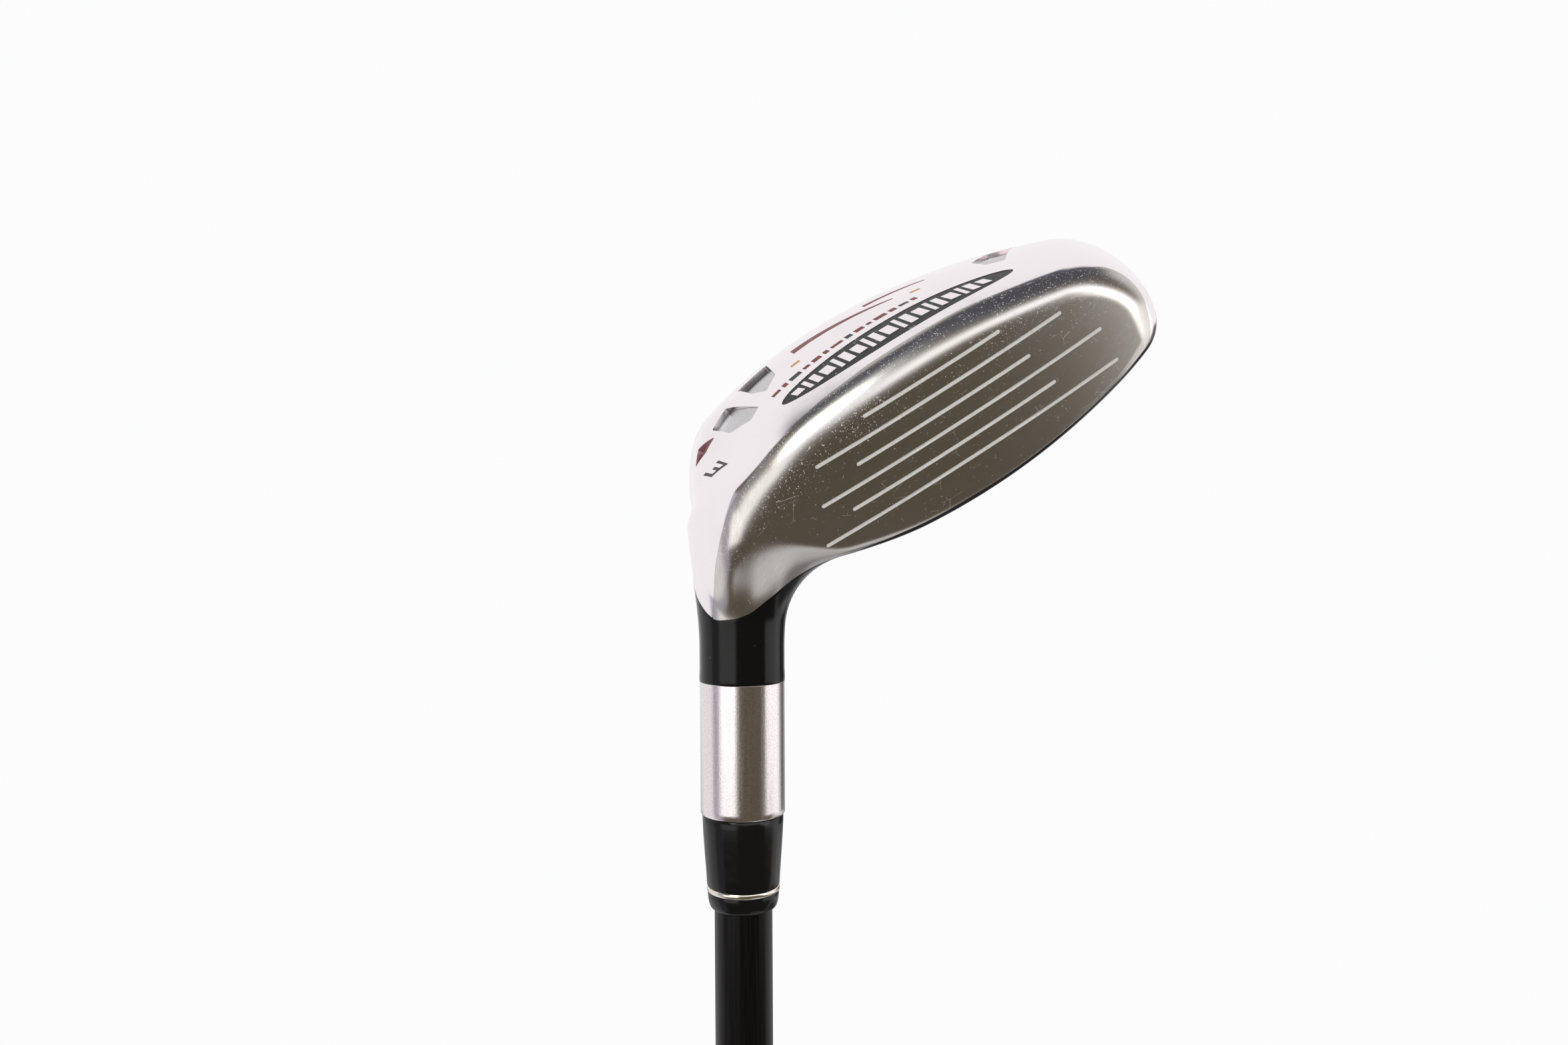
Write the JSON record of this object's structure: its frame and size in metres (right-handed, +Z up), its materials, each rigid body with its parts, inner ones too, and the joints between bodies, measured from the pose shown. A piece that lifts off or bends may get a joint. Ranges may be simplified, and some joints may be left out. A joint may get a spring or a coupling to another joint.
{
  "type": "fairway wood",
  "caption": "Right-handed fairway wood: steel head with a lofted, grooved face, ferrule, tapered graphite shaft and rubber grip.",
  "frame": {"origin": "centre of the grip's butt end, on the shaft axis", "axes": "+Z up the shaft axis from the grip butt to the head; -Y the way the face looks; +X towards the toe"},
  "size_m": [0.0804, 0.0729, 1.119],
  "materials": {
    "black_paint": "gloss black lacquer over steel",
    "satin_steel": "satin brushed along the face, with fine play scratches",
    "polished_steel": "mirror polished stainless",
    "white_fill": "matt white paint in the grooves",
    "dark_fill": "dark grey paint in a shallow recess",
    "grey_fill": "matt silver-grey recess",
    "red_fill": "dark red paint in a shallow recess",
    "black_plastic": "gloss black",
    "silver_ring": "bright champagne silver trim",
    "epoxy": "cured adhesive",
    "shaft_lacquer": "clear lacquer over black graphite",
    "tape_paper": "masking paper",
    "grip_rubber": "matt moulded rubber",
    "grip_cap_rubber": "smooth moulded rubber"
  },
  "bodies": {
    "root": {"head_body": "black_paint", "face_plate": "satin_steel", "sole_plate": "polished_steel", "score_line_1": "white_fill", "score_line_2": "white_fill", "score_line_3": "white_fill", "score_line_4": "white_fill", "score_line_5": "white_fill", "score_line_6": "white_fill", "sole_strip": "dark_fill", "sole_numeral": "dark_fill", "pad_heel_1": "grey_fill", "pad_heel_2": "grey_fill", "pad_heel_3": "red_fill", "pad_toe": "grey_fill", "ferrule_barrel": "black_plastic", "ferrule_ring": "silver_ring", "ferrule_collar": "black_plastic", "epoxy_bond": "epoxy", "shaft": "shaft_lacquer", "grip_tape": "tape_paper", "grip": "grip_rubber", "grip_cap": "grip_cap_rubber"}
  },
  "joints": []
}
